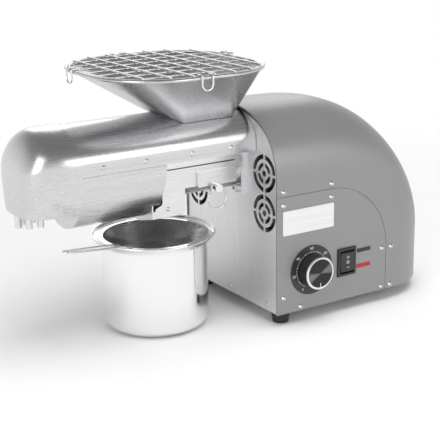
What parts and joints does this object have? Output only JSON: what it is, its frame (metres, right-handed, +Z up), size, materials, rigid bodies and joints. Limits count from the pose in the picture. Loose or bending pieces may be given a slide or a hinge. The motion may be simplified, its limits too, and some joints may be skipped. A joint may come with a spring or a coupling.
{
  "type": "screw oil press",
  "caption": "Countertop screw oil press: motor casing with dial, horizontal press barrel under an open hopper, removable head, strainer and oil cup.",
  "frame": {"origin": "middle of the outer box on the table, under the press axis", "axes": "+Z up, +X from the press head towards the rear of the casing, -Y towards the side with the controls"},
  "size_m": [0.4999, 0.224, 0.29],
  "materials": {
    "shell_grey": "satin metallic lacquer",
    "face_steel": "fine upright brushing",
    "stainless": "brushed and lightly polished",
    "stainless_bright": "polished",
    "zinc_sheet": "plain sheet",
    "screw_steel": "bright",
    "tool_steel": "ground and hardened",
    "rubber_black": "matte",
    "plastic_black": "satin",
    "plastic_red": "gloss",
    "plate_light": "satin",
    "board_green": "satin",
    "label_film": "smooth film",
    "cast_alloy": "as cast",
    "mica_band": "satin",
    "fan_black": "satin",
    "mesh_steel": "woven wire"
  },
  "bodies": {
    "machine": {"shell_cover": "shell_grey", "side_panel_near": "shell_grey", "side_panel_far": "shell_grey", "side_frame_near": "zinc_sheet", "side_frame_far": "zinc_sheet", "face_plate": "face_steel", "base_tray": "zinc_sheet", "feet": "rubber_black", "foot_screws": "screw_steel", "housing_screws": "screw_steel", "nameplate": "plate_light", "dial_plate": "label_film", "potentiometer": "plastic_black", "switch_housing": "plastic_black", "switch_labels": "plastic_red", "cable_gland": "plastic_black", "gearbox_case": "cast_alloy", "gearbox_lid": "cast_alloy", "gearbox_stand": "zinc_sheet", "stand_bolts": "screw_steel", "shaft_bearings": "tool_steel", "motor_can": "zinc_sheet", "motor_endbell": "cast_alloy", "control_board": "board_green", "heat_sink": "cast_alloy", "board_parts": "plastic_black", "fan_frame_near": "fan_black", "fan_frame_far": "fan_black", "press_holder": "stainless", "flange_bolts": "screw_steel", "press_barrel": "tool_steel", "die_nut": "tool_steel", "heater_band": "mica_band", "upper_cover": "stainless", "lower_cover": "stainless", "cover_frame": "zinc_sheet", "cover_screws": "screw_steel", "oil_chute": "stainless", "chute_rivets": "screw_steel"},
    "press_screw": {"auger": "tool_steel", "output_gear": "tool_steel", "output_shaft": "tool_steel"},
    "motor_drive": {"motor_rotor": "tool_steel", "motor_pinion": "tool_steel"},
    "fan_near": {"fan_rotor_near": "fan_black"},
    "fan_far": {"fan_rotor_far": "fan_black"},
    "speed_knob": {"knob_body": "plastic_black", "knob_cap": "stainless_bright", "knob_shaft": "tool_steel"},
    "power_rocker": {"switch_rocker": "plastic_black"},
    "head": {"head_cap": "stainless", "outlet_posts": "stainless"},
    "pin": {"lock_pin": "stainless_bright"},
    "ring": {"pull_ring": "stainless_bright"},
    "feed_hopper": {"hopper": "stainless"},
    "guard": {"hopper_guard": "stainless_bright"},
    "cup": {"oil_cup": "stainless_bright"},
    "sieve": {"sieve_frame": "stainless_bright", "sieve_mesh": "mesh_steel"}
  },
  "joints": [
    {"name": "press_screw_turn", "type": "hinge", "parent": "machine", "child": "press_screw", "pos_m": [0, 0, 0.182], "axis": [1, 0, 0], "continuous": true},
    {"name": "motor_turn", "type": "hinge", "parent": "machine", "child": "motor_drive", "pos_m": [0.072, 0, 0.128], "axis": [1, 0, 0], "continuous": true},
    {"name": "fan_near_turn", "type": "hinge", "parent": "machine", "child": "fan_near", "pos_m": [0.02, -0.0689, 0.1252], "axis": [1, 0, 0], "continuous": true},
    {"name": "fan_far_turn", "type": "hinge", "parent": "machine", "child": "fan_far", "pos_m": [0.02, 0.0689, 0.1252], "axis": [1, 0, 0], "continuous": true},
    {"name": "knob_turn", "type": "hinge", "parent": "machine", "child": "speed_knob", "pos_m": [0.057, -0.1, 0.059], "axis": [0, 1, 0], "range_deg": [0, 280]},
    {"name": "rocker_tilt", "type": "hinge", "parent": "machine", "child": "power_rocker", "pos_m": [0.106, -0.091, 0.059], "axis": [1, 0, 0], "range_deg": [-8, 8]},
    {"name": "head_slide", "type": "slide", "parent": "machine", "child": "head", "axis": [-1, 0, 0], "range_m": [0, 0.09]},
    {"name": "pin_pull", "type": "slide", "parent": "machine", "child": "pin", "axis": [0, -1, 0], "range_m": [0, 0.08]},
    {"name": "ring_swing", "type": "hinge", "parent": "pin", "child": "ring", "pos_m": [-0.0345, -0.0476, 0.1568], "axis": [-1, 0, 0], "range_deg": [0, 90]},
    {"name": "hopper_lift", "type": "slide", "parent": "machine", "child": "feed_hopper", "axis": [0, 0, 1], "range_m": [0, 0.12]},
    {"name": "guard_lift", "type": "slide", "parent": "feed_hopper", "child": "guard", "axis": [0, 0, 1], "range_m": [0, 0.06]},
    {"name": "cup_slide", "type": "slide", "parent": "machine", "child": "cup", "axis": [0, -1, 0], "range_m": [0, 0.2]},
    {"name": "sieve_lift", "type": "slide", "parent": "cup", "child": "sieve", "axis": [0, 0, 1], "range_m": [0, 0.015]}
  ],
  "couplings": [
    {"joint": "motor_turn", "follows": "press_screw_turn", "ratio": -4.1429}
  ]
}
